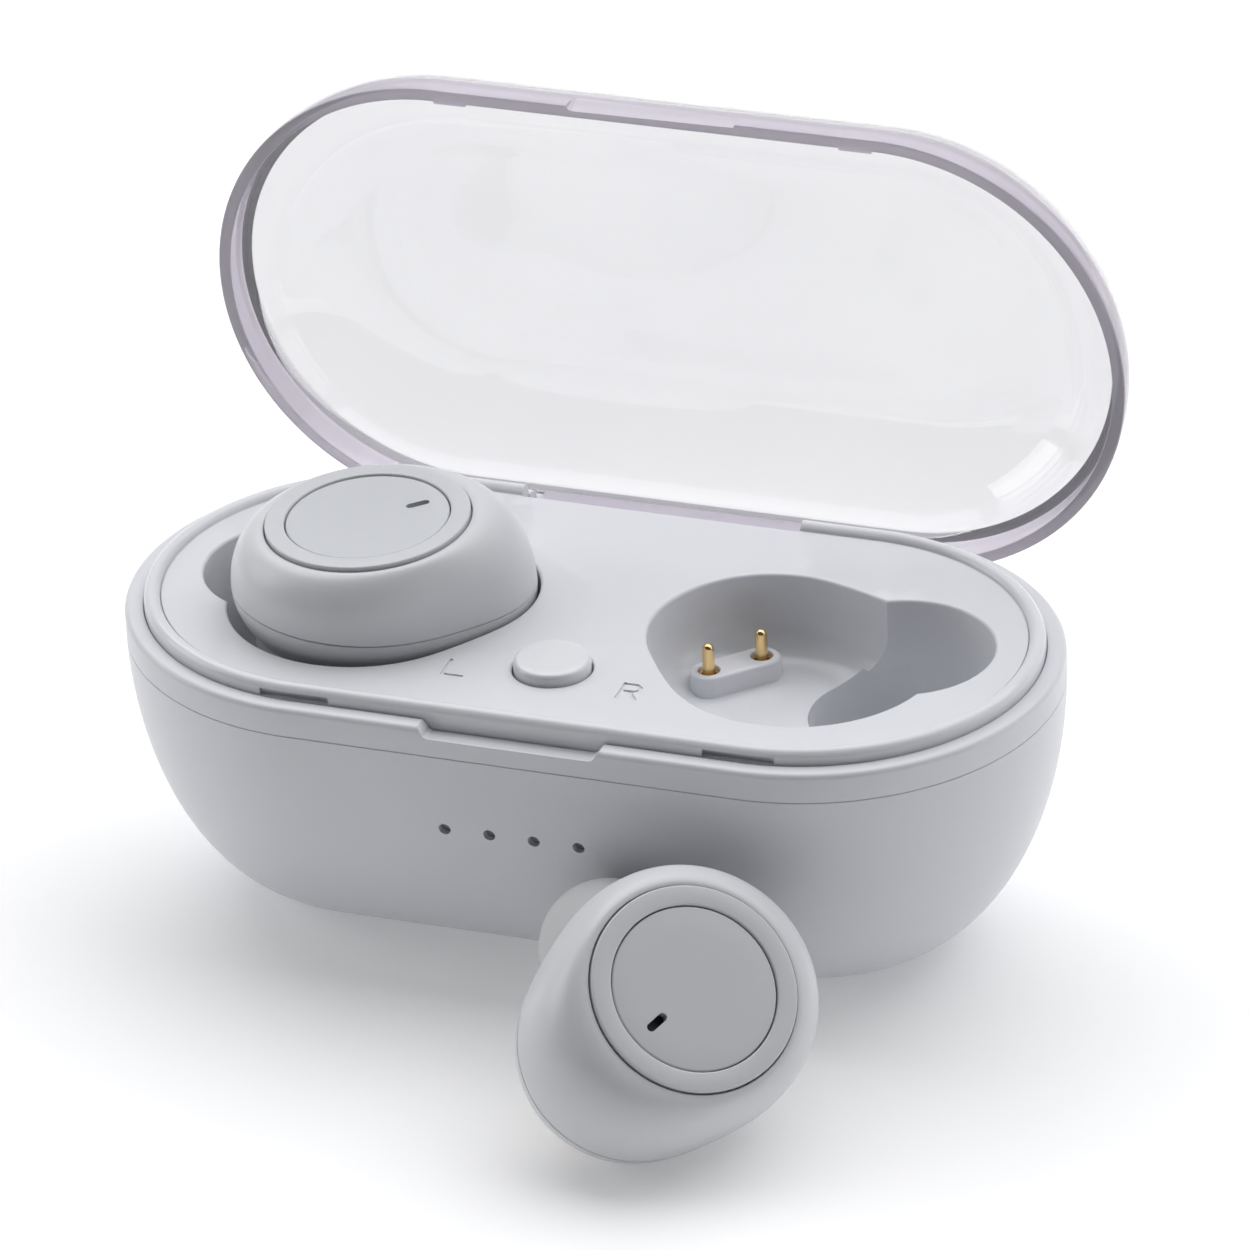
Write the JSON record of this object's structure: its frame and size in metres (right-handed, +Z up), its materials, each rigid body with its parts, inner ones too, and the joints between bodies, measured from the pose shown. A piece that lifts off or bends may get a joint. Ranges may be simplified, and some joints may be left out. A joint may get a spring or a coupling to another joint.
{
  "type": "wireless earbuds case",
  "caption": "Bowl-shaped charging case with a clear hinged lid, round button and spring contacts, with one earbud in its pocket and one on the table.",
  "frame": {"origin": "centre of the case's flat underside", "axes": "+Z up, +X to the right along the case's length, +Y towards the hinge"},
  "size_m": [0.0784, 0.076, 0.0618],
  "materials": {
    "shell_plastic": "satin",
    "tray_plastic": "gloss",
    "clear_plastic": "clear",
    "steel": "plain",
    "button_plastic": "gloss",
    "dark_plastic": "matt",
    "board_green": "satin",
    "battery_wrap": "satin",
    "foam": "matt",
    "wire_red": "satin",
    "light_white": "gloss",
    "guide_clear": "frosted",
    "contact_gold": "polished",
    "magnet_metal": "plated",
    "bud_plastic": "satin",
    "bud_ring": "gloss",
    "bud_button": "satin",
    "bud_inner_plastic": "gloss",
    "silicone": "satin",
    "battery_can": "plain"
  },
  "bodies": {
    "case": {"battery_cell": "battery_wrap", "battery_leads": "wire_red", "battery_pad": "foam", "board_screws": "steel", "button_switch": "dark_plastic", "case_shell": "shell_plastic", "charge_socket": "steel", "contact_boards": "board_green", "contact_headers": "contact_gold", "hinge_pin": "steel", "inner_tray": "tray_plastic", "light_guide": "guide_clear", "main_board": "board_green", "pogo_barrels": "contact_gold", "pogo_springs": "steel", "status_lights": "light_white", "tray_magnets": "magnet_metal"},
    "lid": {"lid_shell": "clear_plastic"},
    "button": {"case_button": "button_plastic"},
    "left_bud": {"left_bud_outer_housing": "bud_plastic", "left_bud_face_ring": "bud_ring", "left_bud_inner_housing": "bud_inner_plastic", "left_bud_ear_tip": "silicone", "left_bud_nozzle_mesh": "steel", "left_bud_driver": "dark_plastic", "left_bud_battery": "battery_can", "left_bud_board": "board_green", "left_bud_switch": "dark_plastic", "left_bud_microphone": "steel", "left_bud_charge_pads": "contact_gold", "left_bud_magnet": "magnet_metal"},
    "right_bud": {"right_bud_outer_housing": "bud_plastic", "right_bud_face_ring": "bud_ring", "right_bud_inner_housing": "bud_inner_plastic", "right_bud_ear_tip": "silicone", "right_bud_nozzle_mesh": "steel", "right_bud_driver": "dark_plastic", "right_bud_battery": "battery_can", "right_bud_board": "board_green", "right_bud_switch": "dark_plastic", "right_bud_microphone": "steel", "right_bud_charge_pads": "contact_gold", "right_bud_magnet": "magnet_metal"},
    "left_touch": {"left_bud_face_button": "bud_button"},
    "right_touch": {"right_bud_face_button": "bud_button"},
    "left_pin_1": {"left_pogo_pin_1": "contact_gold"},
    "left_pin_2": {"left_pogo_pin_2": "contact_gold"},
    "right_pin_1": {"right_pogo_pin_1": "contact_gold"},
    "right_pin_2": {"right_pogo_pin_2": "contact_gold"}
  },
  "joints": [
    {"name": "lid_hinge", "type": "hinge", "parent": "case", "child": "lid", "pos_m": [0, 0.0187, 0.0226], "axis": [-1, 0, 0], "range_deg": [-86, 0]},
    {"name": "case_button_press", "type": "slide", "parent": "case", "child": "button", "axis": [0, 0, 1], "range_m": [-0.0004, 0], "stiffness_N_per_m": 600, "springref_m": 0.0005},
    {"name": "left_bud_lift", "type": "slide", "parent": "case", "child": "left_bud", "axis": [0, 0, 1], "range_m": [0, 0.045]},
    {"name": "right_bud_lift", "type": "slide", "parent": "case", "child": "right_bud", "axis": [0, -0.6, 0.8], "range_m": [0, 0.045]},
    {"name": "left_touch_press", "type": "slide", "parent": "left_bud", "child": "left_touch", "axis": [-0.044, -0.0344, 0.9984], "range_m": [-0.0003, 0], "stiffness_N_per_m": 500, "springref_m": 0.0004},
    {"name": "right_touch_press", "type": "slide", "parent": "right_bud", "child": "right_touch", "axis": [0.5093, -0.4833, 0.712], "range_m": [-0.0003, 0], "stiffness_N_per_m": 500, "springref_m": 0.0004},
    {"name": "left_pin_1_press", "type": "slide", "parent": "case", "child": "left_pin_1", "axis": [0, 0, 1], "range_m": [-0.0003, 0], "stiffness_N_per_m": 120, "springref_m": 0.002},
    {"name": "left_pin_2_press", "type": "slide", "parent": "case", "child": "left_pin_2", "axis": [0, 0, 1], "range_m": [-0.0003, 0], "stiffness_N_per_m": 120, "springref_m": 0.002},
    {"name": "right_pin_1_press", "type": "slide", "parent": "case", "child": "right_pin_1", "axis": [0, 0, 1], "range_m": [-0.0013, 0], "stiffness_N_per_m": 120, "springref_m": 0.002},
    {"name": "right_pin_2_press", "type": "slide", "parent": "case", "child": "right_pin_2", "axis": [0, 0, 1], "range_m": [-0.0013, 0], "stiffness_N_per_m": 120, "springref_m": 0.002}
  ]
}
